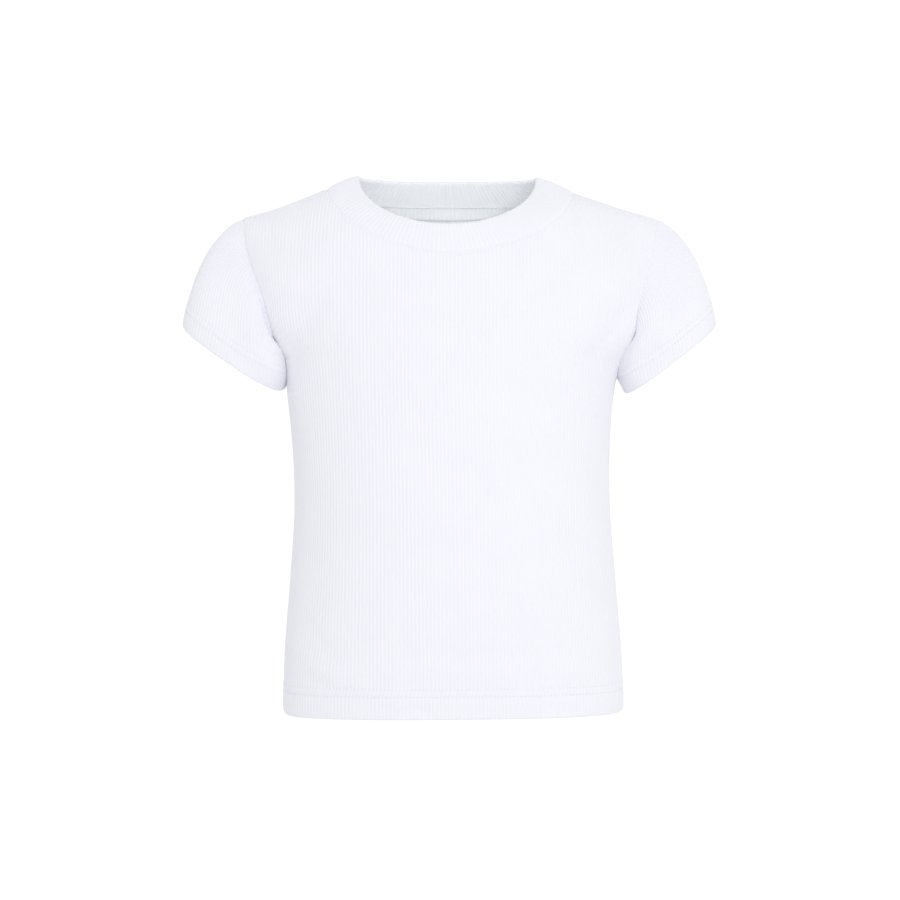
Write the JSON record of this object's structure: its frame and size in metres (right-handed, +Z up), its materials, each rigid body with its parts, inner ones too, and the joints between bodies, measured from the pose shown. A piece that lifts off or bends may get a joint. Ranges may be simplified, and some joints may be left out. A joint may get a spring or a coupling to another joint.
{
  "type": "ribbed t-shirt",
  "caption": "Short-sleeved ribbed t-shirt for a child, filled out as worn, with a round ribbed neckband, set-in sleeves and turned-up hems.",
  "frame": {"origin": "on the centre plane at the height of the neck points, where the shoulder seams meet the neckband, and in the plane of the shoulder seams", "axes": "+Z up; the front faces -Y; +X towards the wearer's left"},
  "size_m": [0.3937, 0.1677, 0.3966],
  "materials": {
    "body_knit": "white cotton rib knit, matt",
    "band_knit": "white cotton rib knit cut double, matt",
    "tape_knit": "white cotton twill-like tape, matt"
  },
  "bodies": {
    "root": {"front_panel": "body_knit", "back_panel": "body_knit", "left_sleeve": "body_knit", "right_sleeve": "body_knit", "neckband": "band_knit", "neck_tape": "tape_knit"}
  },
  "joints": []
}
